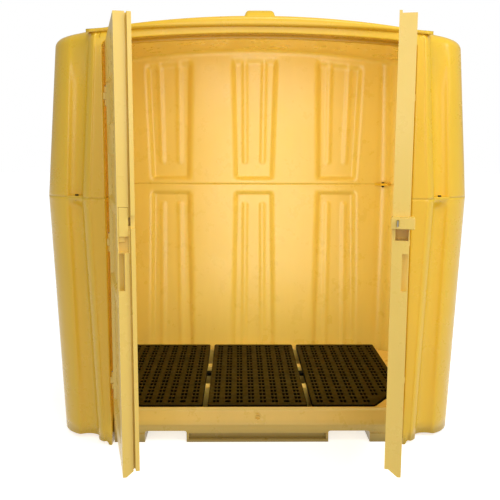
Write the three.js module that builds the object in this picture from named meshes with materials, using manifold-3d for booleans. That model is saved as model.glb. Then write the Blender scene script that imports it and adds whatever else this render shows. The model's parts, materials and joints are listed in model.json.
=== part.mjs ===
// Walk-in spill-containment hut: a drain sump on fork-channel feet, with three lift-out
// grates, under a two-part moulded hard top with a pair of swinging doors.
//
// Frame: millimetres, +Z up, +X to the right seen from the doorway, +Y towards the back wall.
// The origin is on the floor, under the middle of the centre foot. The doors are modelled open.
import * as THREE from 'three';
import { mergeVertices } from 'three/addons/utils/BufferGeometryUtils.js';
import Module from 'manifold-3d';

const wasm = await Module();
wasm.setup();

// ---- Driving dimensions -------------------------------------------------------------------

const FIT = 0.3; // gap between faces that touch
const WALL = 8; // moulded wall thickness

// Hard top
const SEAM_Z = 1205; // where its two halves meet, at its widest level
const HALF_X = 1028; // half width at the seam
const HALF_Y = 620; // half depth at the seam
const LOWER_DRAFT = 50; // how far the lower half draws in between the seam and the floor
const UPPER_DRAFT = 58; // how far the upper half draws in between the seam and the roof
const PILASTER_DEPTH = 25; // how far the wall pilasters stand out
const PILASTER_HALF_W = 128; // half width of a pilaster's foot at the seam
const PILASTER_SPREAD = 20; // how much each side has widened at the roof and at the floor
const SIDE_PILASTERS = [-205, 205];

// Doorway
const JAMB_X = 711; // half width of the doorway
const RETURN_DEPTH = 150; // how deep its lining runs behind the front face
const POST_OUT = 752; // outer side of the jamb posts' feet, which reach the floor
const SKIRT_Z = 20; // bottom of the walls beside them
const DOORWAY_TOP = 1951; // crown of its arch
const DOORWAY_SAG = 37; // how far the arch has fallen at the jambs
const DOORWAY_CORNER = 20;
const STOP_Y = -550; // front face of the bead that the shut doors rest against
const STOP_OUT = 16; // how far that bead stands out from the lining
const STOP_T = 14;

// Roof
const ROOF_TOP = 2021; // crown of the roof at its front edge
const ROOF_SAG = 63; // how far it has fallen at ROOF_SAG_AT from the middle
const ROOF_SAG_AT = 785;
const ROOF_CROWN = 35; // how far it rises between its front edge and its middle
const SHOULDER_R = 40; // rounding between walls and roof
const FASCIA_HALF_W = 790;
const FASCIA_H = 33;
const FASCIA_OUT = 18; // how far the fascia lip stands out over the front face
const RIDGE_HALF_L = 560;
const RIDGE_FOOT = 75; // half width of the roof's ridge at its foot
const RIDGE_CREST = 60; // and at its top
const RIDGE_H = 34;

// Corner webs at the seam, which take the bolts that hold the two halves together
const WEB_T = 7;
const BOLT_R = 5;

// Sump base and grates
const DECK_Z = 175; // top of the grates
const GRATE_W = 497;
const GRATE_L = 1082;
const GRATE_T = 25;
const GRATE_PITCH = 523.5;
const CHAMFER_X = 190; // front corner cut of the outer grates
const CHAMFER_Y = 272;
const BASE_TOP = 181;
const BASE_TOE = -590; // front of the feet
const BASE_FRONT = -553; // front face under the doors, above the slope that runs out to the toe
const BASE_BACK = 552;
const SLOPE_TOP = 150;
const SLOPE_BOTTOM = 92;
const CHANNEL_IN = 350; // fork channels, from here
const CHANNEL_OUT = 555; // to here, on both sides
const CHANNEL_TOP = 57;
const CHANNEL_CORNER = 8;
const SIDE_NARROW = 704; // half width of the base in front, between the jambs
const SIDE_BEHIND = -464; // the base widens behind this, clear of the jambs' lining
const SUMP_FLOOR = 68;
const WELL_FLOOR = 16; // the floor is lower over each foot
const WELL_MARGIN = 20; // from a well to the fork channel beside it
const WELL_REACH = 480; // how far the wells run to the back, and the middle one to the front
const SIDE_WELL_FRONT = -240;
const SIDE_WELL_OUT = 735;
const PEDESTAL_HALF = 32; // half width of the posts that hold the grates' edges
const PEDESTAL_Y = 180;
const TREAD_STRIPS = 8; // strips of slots across a grate
const TREAD_PITCH = 59.5;
const SLOT_HALF_W = 16;
const SLOT_ROWS = 4;
const SLOT_GAP = 24; // between rows
const GRATE_RIM = 34; // at each end
const PLUG_Z = 126;
const PLUG_R = 14;

// Doors, drawn shut and then swung open
const DOOR_T = 65;
const DOOR_BOTTOM = 156;
const DOOR_BOTTOM_IN = 186; // the inner skin ends higher, clear of the sump's front edge
const DOOR_TOP_HINGE = 1906;
const DOOR_TOP_FREE = 1930;
const DOOR_GAP = 5; // from the hinge line to the door's edge
const HINGE_X = 699;
const HINGE_Y = -HALF_Y;
const HINGE_HEIGHTS = [330, 1000, 1670];
const HINGE_R = 6.5;
const LUG_SWEEP = 13.5; // how far from the hinge line the lug sweeps through the door's notch
const PIN_R = 3;
const OPEN_ANGLE = THREE.MathUtils.degToRad(77.3);
const LEFT_FREE = 685; // from the left hinge line to that door's free edge
const LEFT_LIP = 701; // and to the end of its cover lip
const RIGHT_FREE = 690; // from the right hinge line to that door's free edge
const LIP_DEPTH = 49; // the cover lip lies behind this depth
const LIP_CHANNEL = 42; // and the channel beside it starts at this depth
const LIP_NOTCH = 25; // half height of the gap in the lip for the latch bar
const BEAD_T = 11; // bead round the right door's inner face
const PRESSING_HINGE = 48; // from the hinge line to the outer face's pressed panels
const PRESSING_FREE = 95; // and from the panels to the free edge
const PRESSING_DEPTH = 12;
const PRESSINGS = [[250, 815], [860, 1180], [1220, 1418], [1535, 1728]]; // bottom and top of each
const POCKET_BOTTOM = 887; // hand pocket in the free edge
const POCKET_SILL = 905;
const POCKET_TOP = 1050;
const POCKET_DEPTH = 25;

// Latch
const LATCH_Z = 1168; // middle of the latch bar
const LATCH_H = 44;
const LATCH_OUT = 18; // how far the bar stands out past each face and the free edge
const FINGER_BOTTOM = 1100; // bottom of the finger recess under the bar
const KEEPER_BOTTOM = 1112;
const KEEPER_TOP = 1223;
const KEEPER_TOE = 22; // how far its thin toe hangs below
const KEEPER_W = 21.7;
const TONGUE_H = 24; // height of the slot that holds the tongue
const TONGUE_FRONT = 42.5; // that slot's depths in the door
const TONGUE_BACK = 48;
const TONGUE_REACH = 24; // how far the tongue stands out of the bar
const TONGUE_IN = 30; // and how far it is let in

// ---- Materials ----------------------------------------------------------------------------

const plastic = (color) => new THREE.MeshStandardMaterial({ color, roughness: 0.42, metalness: 0 });
const YELLOW = plastic(0xe8b63c);
const YELLOW_LIGHT = plastic(0xefc765);
const GRATE_BROWN = plastic(0x4c3c08);
const STEEL = new THREE.MeshStandardMaterial({ color: 0xb9bcc0, roughness: 0.35, metalness: 0.9 });
const BLACK_STEEL = new THREE.MeshStandardMaterial({ color: 0x1c1a16, roughness: 0.55, metalness: 0.6 });

// ---- Solid helpers ------------------------------------------------------------------------

function toSolid(geometry) {
  const bare = geometry.clone();
  bare.deleteAttribute('normal');
  bare.deleteAttribute('uv');
  const merged = mergeVertices(bare, 1e-4);
  return new wasm.Manifold(new wasm.Mesh({
    numProp: 3,
    vertProperties: new Float32Array(merged.attributes.position.array),
    triVerts: new Uint32Array(merged.index.array),
  }));
}

function toGeometry(solid) {
  const { vertProperties, triVerts } = solid.getMesh();
  const geometry = new THREE.BufferGeometry();
  geometry.setAttribute('position', new THREE.BufferAttribute(new Float32Array(vertProperties), 3));
  geometry.setIndex(new THREE.BufferAttribute(new Uint32Array(triVerts), 1));
  geometry.computeVertexNormals();
  return geometry;
}

const join = (...solids) => solids.reduce((all, next) => all.add(next));
const cut = (solid, ...tools) => tools.reduce((rest, tool) => rest.subtract(tool), solid);

// A block between two opposite corners.
function block(low, high) {
  const size = high.map((value, axis) => value - low[axis]);
  const geometry = new THREE.BoxGeometry(...size);
  geometry.translate(...low.map((value, axis) => value + size[axis] / 2));
  return toSolid(geometry);
}

// A block on the left (-1) or right (+1) side, between two distances from the middle.
function sideBlock(side, near, far, [front, back], [bottom, top]) {
  const [a, b] = [side * near, side * far].sort((p, q) => p - q);
  return block([a, front, bottom], [b, back, top]);
}

// A flat outline pushed through a distance, still lying in its own plane.
function push(outline, distance) {
  const shape = new THREE.Shape(outline.map(([a, b]) => new THREE.Vector2(a, b)));
  return new THREE.ExtrudeGeometry(shape, { depth: distance, bevelEnabled: false });
}

// A plan outline of [x, y] points, raised from one height to another.
const raise = (outline, from, to) => toSolid(push(outline, to - from).translate(0, 0, from));

// A front-view outline of [x, z] points, run from y = from back to y = to.
const runBack = (outline, from, to) =>
  toSolid(push(outline, to - from).rotateX(Math.PI / 2).translate(0, to, 0));

// A side-view outline of [y, z] points, run from x = from across to x = to.
const runAcross = (outline, from, to) =>
  toSolid(push(outline, to - from).rotateX(Math.PI / 2).rotateZ(Math.PI / 2).translate(from, 0, 0));

// An upright cylinder on a spot in plan.
const post = (x, y, radius, from, to, sides = 16) =>
  toSolid(new THREE.CylinderGeometry(radius, radius, to - from, sides).rotateX(Math.PI / 2)
    .translate(x, y, (from + to) / 2));

// A solid through matching rings of [x, y, z] points. `flat` picks the two coordinates that
// the end caps are filled in.
function loft(rings, flat = ([x, y]) => [x, y]) {
  const count = rings[0].length;
  const last = (rings.length - 1) * count;
  const index = [];
  for (let ring = 0; ring + 1 < rings.length; ring += 1) {
    for (let point = 0; point < count; point += 1) {
      const a = ring * count + point;
      const b = ring * count + ((point + 1) % count);
      index.push(a, b, b + count, a, b + count, a + count);
    }
  }
  const cap = (ring) => {
    const points = ring.map((point) => new THREE.Vector2(...flat(point)));
    return THREE.ShapeUtils.triangulateShape(points, []);
  };
  for (const [a, b, c] of cap(rings[0])) index.push(c, b, a);
  for (const [a, b, c] of cap(rings[rings.length - 1])) index.push(last + a, last + b, last + c);
  const geometry = new THREE.BufferGeometry();
  geometry.setAttribute('position', new THREE.Float32BufferAttribute(rings.flat(2), 3));
  geometry.setIndex(index);
  return toSolid(geometry);
}

// Points along the arc from a to b, without b. A positive sagitta bulges to the right of a-to-b.
function arc(a, b, sagitta, steps) {
  const chord = Math.hypot(b[0] - a[0], b[1] - a[1]);
  const radius = (chord * chord / 4 + sagitta * sagitta) / (2 * Math.abs(sagitta));
  const half = Math.asin(chord / 2 / radius);
  const along = [(b[0] - a[0]) / chord, (b[1] - a[1]) / chord];
  const out = [along[1] * Math.sign(sagitta), -along[0] * Math.sign(sagitta)];
  return Array.from({ length: steps }, (_, step) => {
    const angle = half * (2 * step / steps - 1);
    const run = chord / 2 + radius * Math.sin(angle);
    const rise = radius * (Math.cos(angle) - Math.cos(half));
    return [a[0] + along[0] * run + out[0] * rise, a[1] + along[1] * run + out[1] * rise];
  });
}

// A closed counter-clockwise outline moved inwards by a distance.
function inset(outline, distance) {
  return outline.map(([x, y], at) => {
    const before = outline[(at + outline.length - 1) % outline.length];
    const after = outline[(at + 1) % outline.length];
    const one = new THREE.Vector2(x - before[0], y - before[1]).normalize();
    const two = new THREE.Vector2(after[0] - x, after[1] - y).normalize();
    const inward = new THREE.Vector2(-one.y - two.y, one.x + two.x).normalize();
    const reach = distance / Math.max(0.5, -one.y * inward.x + one.x * inward.y);
    return [x + inward.x * reach, y + inward.y * reach];
  });
}

// ---- Plan outline of the hard top ---------------------------------------------------------

// Front corner, from the jamb outwards: flat jamb facet, rib, half-pipe groove, round outer facet.
const RIB_START = [778, -HALF_Y];
const GROOVE_START = [827, -585];
const GROOVE_END = [914, -530];
const SIDE_START = [HALF_X, -410];
const frontWall = [0.15, 0.3, 0.45, 0.6, 0.75, 0.9].map((share) => [share * RIB_START[0], -HALF_Y]);
const groove = arc(GROOVE_START, GROOVE_END, -38, 7);
const frontCorner = [
  ...arc(RIB_START, GROOVE_START, 8, 3),
  ...groove,
  ...arc(GROOVE_END, SIDE_START, 18, 4),
  SIDE_START,
];

// Back corner, from the side wall round to the back wall: round outer facet, then a corner column.
const COLUMN_START = [868, 572];
const COLUMN_END = [778, HALF_Y];
const column = arc(COLUMN_START, COLUMN_END, 22, 5);
const backCorner = [
  ...arc([HALF_X, 410], COLUMN_START, 20, 4),
  ...column,
  COLUMN_END,
];

// A pilaster is four points on a wall that runs along a line; `out` is the wall's outward side.
// Its sides spread above and below the seam, so each point also says which way it moves.
function pilaster(centre, step) {
  const foot = PILASTER_HALF_W;
  const head = PILASTER_HALF_W - PILASTER_DEPTH;
  return [[-foot, 0], [-head, PILASTER_DEPTH], [head, PILASTER_DEPTH], [foot, 0]]
    .map(([along, out]) => ({ along: centre + step * along, out, spread: step * Math.sign(along) }));
}

const sidePilasters = SIDE_PILASTERS.flatMap((centre) => pilaster(centre, 1));
const backPilasters = [GRATE_PITCH, 0, -GRATE_PITCH].flatMap((centre) => pilaster(centre, -1));
const rightHalf = [
  ...frontWall.map((point) => ({ point, spread: [0, 0] })),
  ...frontCorner.map((point) => ({ point, spread: [0, 0] })),
  ...sidePilasters.map(({ along, out, spread }) => ({ point: [HALF_X + out, along], spread: [0, spread] })),
  ...backCorner.map((point) => ({ point, spread: [0, 0] })),
];
const leftHalf = rightHalf.map(({ point, spread }) => ({
  point: [-point[0], point[1]],
  spread: [-spread[0], spread[1]],
})).reverse();
const backWall = backPilasters.map(({ along, out, spread }) => ({
  point: [along, HALF_Y + out],
  spread: [spread, 0],
}));
const planPoints = [...rightHalf, ...backWall, ...leftHalf];
const planOutline = planPoints.map(({ point }) => point);
const planSpread = planPoints.map(({ spread }) => spread);

// The plan at one height: each point draws in from the doorway outwards and towards the back.
function planAt(outline, z) {
  const rise = z - SEAM_Z;
  const share = Math.abs(rise) / (rise > 0 ? ROOF_TOP - SEAM_Z : SEAM_Z);
  const draft = share * (rise > 0 ? UPPER_DRAFT : LOWER_DRAFT);
  return outline.map(([x, y], at) => {
    const drawX = draft * Math.max(0, Math.abs(x) - JAMB_X) / (HALF_X - JAMB_X);
    const drawY = draft * Math.max(0, y + HALF_Y) / (2 * HALF_Y);
    const spread = planSpread[at].map((way) => way * PILASTER_SPREAD * share);
    return [x - Math.sign(x) * drawX + spread[0], y - drawY + spread[1]];
  });
}

const roofZ = (x, y) =>
  ROOF_TOP - ROOF_SAG * (x / ROOF_SAG_AT) ** 2 + ROOF_CROWN * (1 - (y / HALF_Y) ** 2);

// Walls between two heights, solid through.
function wallBlock(outline, from, to) {
  return loft([from, to].map((z) => planAt(outline, z).map(([x, y]) => [x, y, z])));
}

// The upper half, solid through: walls, round shoulders and an arched roof, `drop` below the outside.
function roofBlock(outline, from, drop) {
  const top = planAt(outline, ROOF_TOP);
  const shrunk = (insetBy, share = 1) => top.map(([x, y]) => [
    x * share * (1 - insetBy / HALF_X),
    y * share * (1 - insetBy / HALF_Y),
  ]);
  const surface = (ring, below) => ring.map(([x, y]) => [x, y, roofZ(x, y) - drop - below]);
  const rings = [planAt(outline, from).map(([x, y]) => [x, y, from]), surface(top, SHOULDER_R)];
  for (const angle of [45, 90].map(THREE.MathUtils.degToRad)) {
    const ring = shrunk(SHOULDER_R * (1 - Math.cos(angle)));
    rings.push(surface(ring, SHOULDER_R * (1 - Math.sin(angle))));
  }
  for (const share of [0.7, 0.35, 0.05]) rings.push(surface(shrunk(SHOULDER_R, share), 0));
  return loft(rings);
}

// ---- Doorway ------------------------------------------------------------------------------

const doorwayZ = (x) => DOORWAY_TOP - DOORWAY_SAG * (x / JAMB_X) ** 2;

// The doorway's arch from a sill height up, grown outwards all round.
function doorwayOutline(sill, grow) {
  const side = JAMB_X + grow;
  const corner = JAMB_X - DOORWAY_CORNER;
  const turn = arc([side, doorwayZ(JAMB_X) - DOORWAY_CORNER], [corner, doorwayZ(corner) + grow], 6, 3);
  const arch = Array.from({ length: 11 }, (_, step) => corner - step * corner / 5);
  const right = [[side, sill], ...turn];
  return [
    ...right,
    ...arch.map((x) => [x, doorwayZ(x) + grow]),
    ...right.map(([x, z]) => [-x, z]).reverse(),
  ];
}

// ---- Corner webs and their bolts ----------------------------------------------------------

// A web spans a half-round stretch of the wall and its chord. Its rim runs into the wall.
function webOutline(stretch, end, reach) {
  const [a] = stretch;
  const middle = [(a[0] + end[0]) / 2, (a[1] + end[1]) / 2];
  return [...stretch, end].map(([x, y]) => {
    const away = Math.hypot(x - middle[0], y - middle[1]);
    return [x + (x - middle[0]) * reach / away, y + (y - middle[1]) * reach / away];
  });
}

const mirrorX = (outline) => outline.map(([x, y]) => [-x, y]).reverse();
const frontWeb = webOutline(groove, GROOVE_END, 3);
const backWeb = [...arc(COLUMN_START, COLUMN_END, 17, 5), COLUMN_END, [762, 600], [838, 540]];
const FRONT_BOLT = [862, -545];
const BACK_BOLT = [815, 583];
const webs = [frontWeb, backWeb, mirrorX(frontWeb), mirrorX(backWeb)];
const boltSpots = {
  front_right: FRONT_BOLT,
  back_right: BACK_BOLT,
  front_left: [-FRONT_BOLT[0], FRONT_BOLT[1]],
  back_left: [-BACK_BOLT[0], BACK_BOLT[1]],
};

// A half of the hard top, with its webs added between two heights and their bolt holes drilled.
function withWebs(half, from, to) {
  const added = join(half, ...webs.map((web) => raise(web, from, to)));
  const holes = Object.values(boltSpots).map(([x, y]) => post(x, y, BOLT_R + 1, from - 1, to + 1, 16));
  return cut(added, ...holes);
}

// ---- Hard top -----------------------------------------------------------------------------

function lowerShell() {
  const top = SEAM_Z - FIT / 2;
  const lining = SEAM_Z + 1;
  const front = -HALF_Y - 1;
  const inside = -HALF_Y + RETURN_DEPTH;
  const skin = cut(
    wallBlock(planOutline, 0, top),
    wallBlock(inset(planOutline, WALL), -1, lining),
    block([-JAMB_X - 1, front, -1], [JAMB_X + 1, front + 40, lining]),
  );
  const linings = [-1, 1].flatMap((side) => [
    sideBlock(side, JAMB_X, JAMB_X + WALL, [-HALF_Y, inside], [0, top]),
    sideBlock(side, JAMB_X - STOP_OUT, JAMB_X + 1, [STOP_Y, STOP_Y + STOP_T], [BASE_TOP + 8, top]),
  ]);
  // Only the jamb posts reach the floor. The skirt is higher, and highest over the fork channels.
  const skirtTrims = [
    sideBlock(-1, POST_OUT, HALF_X + 50, [-HALF_Y - 1, HALF_Y + 50], [-1, SKIRT_Z]),
    sideBlock(1, POST_OUT, HALF_X + 50, [-HALF_Y - 1, HALF_Y + 50], [-1, SKIRT_Z]),
    block([-POST_OUT - 1, 300, -1], [POST_OUT + 1, HALF_Y + 50, CHANNEL_TOP + 6]),
  ];
  return withWebs(cut(join(skin, ...linings), ...skirtTrims), top - WEB_T, top);
}

function upperShell() {
  const bottom = SEAM_Z + FIT / 2;
  const front = -HALF_Y - 1;
  const arch = (sill, grow, from, to) => runBack(doorwayOutline(sill, grow), from, to);
  const fasciaTop = Array.from({ length: 17 }, (_, step) => FASCIA_HALF_W * (step / 8 - 1));
  const fascia = runBack([
    ...fasciaTop.map((x) => [x, roofZ(x, -HALF_Y) - FASCIA_H]),
    ...fasciaTop.reverse().map((x) => [x, roofZ(x, -HALF_Y)]),
  ], -HALF_Y - FASCIA_OUT, -HALF_Y + SHOULDER_R);
  const ridgeRing = (y) => {
    const z = roofZ(0, y);
    const [foot, crest] = [z - 12, z + RIDGE_H];
    return [[-RIDGE_FOOT, y, foot], [RIDGE_FOOT, y, foot], [RIDGE_CREST, y, crest], [-RIDGE_CREST, y, crest]];
  };
  const ridgeStations = [-1, -0.5, 0, 0.5, 1].map((share) => share * RIDGE_HALF_L);
  const ridge = loft(ridgeStations.map(ridgeRing).reverse(), ([x, , z]) => [x, z]);
  const skin = cut(
    roofBlock(planOutline, bottom, 0),
    roofBlock(inset(planOutline, WALL), bottom - 1, WALL),
    arch(bottom - 1, 0, front, front + 40),
  );
  const lining = cut(
    arch(bottom, WALL, -HALF_Y, -HALF_Y + RETURN_DEPTH),
    arch(bottom - 1, 0, front, -HALF_Y + RETURN_DEPTH + 1),
  );
  const stop = cut(
    arch(bottom, 1, STOP_Y, STOP_Y + STOP_T),
    arch(bottom - 1, -STOP_OUT, STOP_Y - 1, STOP_Y + STOP_T + 1),
  );
  return withWebs(join(skin, lining, stop, fascia, ridge), bottom, bottom + WEB_T);
}

// ---- Sump base and grates -----------------------------------------------------------------

// The outline of the grates together, grown outwards: a rectangle with cut front corners.
function deckOutline(grow) {
  const x = GRATE_PITCH + GRATE_W / 2 + grow;
  const y = GRATE_L / 2 + grow;
  return [
    [-x + CHAMFER_X, -y], [x - CHAMFER_X, -y], [x, -y + CHAMFER_Y], [x, y], [-x, y], [-x, -y + CHAMFER_Y],
  ];
}

// The base in four parts: a tray, and the three feet that the fork channels run between.
function sumpBase() {
  const half = [
    [SIDE_NARROW, BASE_TOE], [SIDE_NARROW, SIDE_BEHIND], [868, SIDE_BEHIND],
    [950, -385], [950, 335], [795, 445], [745, BASE_BACK],
  ];
  const body = raise([...half, ...half.map(([x, y]) => [-x, y]).reverse()], 0, BASE_TOP);
  const channel = (side) => {
    const [a, b] = [side * CHANNEL_IN, side * CHANNEL_OUT].sort((p, q) => p - q);
    const spring = CHANNEL_TOP - CHANNEL_CORNER;
    const crown = [[b - CHANNEL_CORNER, CHANNEL_TOP], [a + CHANNEL_CORNER, CHANNEL_TOP]];
    const outline = [[a, -1], [b, -1], [b, spring], ...crown, [a, spring]];
    return runBack(outline, BASE_TOE - 1, BASE_BACK + 1);
  };
  const seat = raise(deckOutline(4), DECK_Z - GRATE_T - FIT, BASE_TOP + 1);
  const sump = raise(deckOutline(-24), SUMP_FLOOR, DECK_Z);
  const wellHeights = [WELL_FLOOR, SUMP_FLOOR + 1];
  const sideWell = (side) =>
    sideBlock(side, CHANNEL_OUT + WELL_MARGIN, SIDE_WELL_OUT, [SIDE_WELL_FRONT, WELL_REACH], wellHeights);
  const middle = CHANNEL_IN - WELL_MARGIN;
  const wells = [
    block([-middle, -WELL_REACH, WELL_FLOOR], [middle, WELL_REACH, SUMP_FLOOR + 1]),
    sideWell(-1),
    sideWell(1),
  ];
  // The front slopes back under the doors, and is undercut above the centre foot's toe.
  const slope = runAcross([
    [BASE_TOE - 1, BASE_TOP + 1], [BASE_TOE - 1, SLOPE_BOTTOM], [BASE_TOE, SLOPE_BOTTOM],
    [BASE_FRONT, SLOPE_TOP], [BASE_FRONT, BASE_TOP + 1],
  ], -SIDE_NARROW - 1, SIDE_NARROW + 1);
  const lowFace = [SIDE_NARROW + 1, BASE_TOE + 5, SLOPE_BOTTOM - 4];
  const faceStep = block([-SIDE_NARROW - 1, BASE_TOE - 1, 45], lowFace);
  const toeStep = block([-CHANNEL_IN + 12, BASE_TOE - 1, 14], [CHANNEL_IN - 12, BASE_TOE + 26, 45]);
  const hole = runBack(ringOutline(PLUG_R + FIT, 0, PLUG_Z), BASE_TOE - 1, BASE_FRONT + 50);
  const pedestals = [-1, 1].flatMap((side) => [-PEDESTAL_Y, PEDESTAL_Y].map((y) => {
    const x = side * GRATE_PITCH / 2;
    const low = [x - PEDESTAL_HALF, y - PEDESTAL_HALF, WELL_FLOOR - 1];
    return block(low, [x + PEDESTAL_HALF, y + PEDESTAL_HALF, DECK_Z - GRATE_T - FIT]);
  }));
  const hollow = cut(body, channel(-1), channel(1), seat, sump, ...wells, slope, faceStep, toeStep, hole);
  const between = (CHANNEL_IN + CHANNEL_OUT) / 2;
  const depths = [BASE_TOE - 1, BASE_BACK + 1];
  const footHeights = [-1, CHANNEL_TOP - FIT / 2];
  const sideFoot = (side) => hollow.intersect(sideBlock(side, between, HALF_X, depths, footHeights));
  const middleFoot = hollow.intersect(sideBlock(1, -between, between, depths, footHeights));
  const tray = hollow.intersect(sideBlock(1, -HALF_X, HALF_X, depths, [CHANNEL_TOP + FIT / 2, BASE_TOP + 1]));
  return {
    sump_tray: tray,
    foot_left: sideFoot(-1),
    foot_middle: join(middleFoot, ...pedestals),
    foot_right: sideFoot(1),
  };
}

// A circle of [across, up] points.
function ringOutline(radius, x, z, sides = 20) {
  return Array.from({ length: sides }, (_, step) => {
    const angle = 2 * Math.PI * step / sides;
    return [x + radius * Math.cos(angle), z + radius * Math.sin(angle)];
  });
}

function drainPlug() {
  const face = BASE_FRONT - 16;
  const shank = runBack(ringOutline(PLUG_R, 0, PLUG_Z), face, face + 50);
  const recess = runBack(ringOutline(PLUG_R - 4, 0, PLUG_Z), face - 1, face + 6);
  const grip = block([-PLUG_R + 3.5, face + 1, PLUG_Z - 2], [PLUG_R - 3.5, face + 7, PLUG_Z + 2]);
  return join(cut(shank, recess), grip);
}

// One grate, with the slot fields of its eight tread strips. The outer ones have a cut front corner.
function grate(place) {
  const centre = place * GRATE_PITCH;
  const [x, y] = [GRATE_W / 2, GRATE_L / 2];
  const [top, bottom] = [DECK_Z, DECK_Z - GRATE_T];
  const cutCorner = [[x - CHAMFER_X, -y], [x, -y + CHAMFER_Y]];
  const outline = [...(place ? cutCorner : [[x, -y]]), [x, y], [-x, y], [-x, -y]];
  const placed = outline.map(([px, py]) => [centre + (place || 1) * px, py]);
  const strips = Array.from({ length: TREAD_STRIPS }, (_, at) => (at - (TREAD_STRIPS - 1) / 2) * TREAD_PITCH);
  const fields = strips.flatMap((across) => {
    const beyond = Math.max(0, place ? across + SLOT_HALF_W + 4 - (x - CHAMFER_X) : 0);
    const start = -y + GRATE_RIM + beyond * CHAMFER_Y / CHAMFER_X;
    const length = (y - GRATE_RIM - start - (SLOT_ROWS - 1) * SLOT_GAP) / SLOT_ROWS;
    const middle = centre + (place || 1) * across;
    return Array.from({ length: SLOT_ROWS }, (_, row) => {
      const from = start + row * (length + SLOT_GAP);
      return block([middle - SLOT_HALF_W, from, bottom - 1], [middle + SLOT_HALF_W, from + length, top + 1]);
    });
  });
  const slab = cut(raise(placed, bottom, top), ...fields);
  if (place) return slab;
  const reach = GRATE_PITCH - GRATE_W / 2 - 1;
  const tabs = [-1, 1].map((side) => {
    const [a, b] = [side * (x - 3), side * reach].sort((p, q) => p - q);
    return block([a, -22, bottom], [b, 22, top - 5]);
  });
  return join(slab, ...tabs);
}

// ---- Doors --------------------------------------------------------------------------------
// A door is drawn shut in its own frame: x runs from the hinge line to the free edge, y from the
// outer face inwards, z is the height. The left door lies that way; the right one is its mirror.

// A panel pressed into the outer face, with sloping sides.
function pressing(left, right, low, high, depth) {
  const ring = (y, shrink) => [
    [left + shrink, y, low + shrink], [right - shrink, y, low + shrink],
    [right - shrink, y, high - shrink], [left + shrink, y, high - shrink],
  ];
  return loft([ring(depth, depth), ring(-1, -1)], ([x, , z]) => [x, z]);
}

// The stretch of the hinge edge that the jamb's lug turns in.
function hingeNotch(z) {
  return join(
    post(0, 0, HINGE_R + 1.5, z - 17, z + 17),
    block([-8, -8, z - 17], [2, 14, z + 17]),
    block([0, -8, z - 17], [LUG_SWEEP, 7, z + 17]),
  );
}

// The two knuckles that the door carries at a hinge, above and below the jamb's lug.
function hingeKnuckles(z) {
  return join(...[-1, 1].map((side) => {
    const [from, to] = [z + side * 16, z + side * 42].sort((a, b) => a - b);
    return join(post(0, 0, HINGE_R, from, to), block([0, -HINGE_R + 1, from], [DOOR_GAP + 4, HINGE_R, to]));
  }));
}

function doorSlab(free) {
  const front = [
    [DOOR_GAP, DOOR_BOTTOM], [free, DOOR_BOTTOM], [free, DOOR_TOP_FREE], [DOOR_GAP, DOOR_TOP_HINGE],
  ];
  const slab = runBack(front, 0, DOOR_T);
  // The bottom slopes up and inwards.
  const bevel = runAcross([
    [14, DOOR_BOTTOM - 1], [14, DOOR_BOTTOM], [50, DOOR_BOTTOM_IN],
    [DOOR_T + 1, DOOR_BOTTOM_IN], [DOOR_T + 1, DOOR_BOTTOM - 1],
  ], 0, free + 1);
  const panels = PRESSINGS.map(([low, high]) =>
    pressing(PRESSING_HINGE, free - PRESSING_FREE, low, high, PRESSING_DEPTH));
  return cut(slab, bevel, ...panels);
}

// The pocket for a hand, open at the outer face and the free edge.
function handPocket(free) {
  return join(
    block([free - 70, -1, POCKET_BOTTOM], [free - 16, POCKET_DEPTH, POCKET_TOP]),
    block([free - 40, 3, POCKET_SILL], [free + 1, POCKET_DEPTH, POCKET_TOP]),
  );
}

function hingedDoor(slab) {
  const notched = cut(slab, ...HINGE_HEIGHTS.map(hingeNotch));
  const hung = join(notched, ...HINGE_HEIGHTS.map(hingeKnuckles));
  const bores = HINGE_HEIGHTS.map((z) => post(0, 0, PIN_R + 0.25, z - 43, z + 43, 16));
  return cut(hung, ...bores);
}

function leftDoor() {
  const slab = doorSlab(LEFT_FREE);
  const lip = block([LEFT_FREE - 30, LIP_DEPTH, DOOR_BOTTOM_IN], [LEFT_LIP, DOOR_T, DOOR_TOP_FREE - 4]);
  const channel = block([LEFT_FREE - 34, LIP_CHANNEL, 0], [LEFT_FREE + 1, LIP_DEPTH, DOOR_TOP_FREE + 50]);
  const recessFrom = [LEFT_FREE - KEEPER_W - FIT, 4, POCKET_TOP + 1];
  const catchRecess = block(recessFrom, [LEFT_FREE + 1, LIP_CHANNEL + 1, KEEPER_TOP + 1]);
  // The lip is notched where the latch bar's end lies when the doors are shut.
  const notchFrom = [LEFT_FREE + 2, LIP_CHANNEL, LATCH_Z - LIP_NOTCH];
  const notch = block(notchFrom, [LEFT_LIP + 1, DOOR_T + 1, LATCH_Z + LIP_NOTCH]);
  return hingedDoor(cut(join(slab, lip), channel, catchRecess, notch, handPocket(LEFT_FREE)));
}

function rightDoor() {
  const beadTop = DOOR_TOP_FREE + 10;
  const bead = runBack([
    [DOOR_GAP, DOOR_BOTTOM_IN], [RIGHT_FREE, DOOR_BOTTOM_IN],
    [RIGHT_FREE, beadTop], [DOOR_GAP, DOOR_TOP_HINGE],
  ], DOOR_T - BEAD_T, DOOR_T);
  const half = LATCH_H / 2 + FIT;
  const slot = block([RIGHT_FREE - 92, -1, LATCH_Z - half], [RIGHT_FREE + 1, DOOR_T + 1, LATCH_Z + half]);
  const fingers = block([RIGHT_FREE - 62, 4, FINGER_BOTTOM], [RIGHT_FREE + 1, DOOR_T - 12, LATCH_Z]);
  return hingedDoor(cut(join(doorSlab(RIGHT_FREE), bead), slot, fingers, handPocket(RIGHT_FREE)));
}

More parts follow.
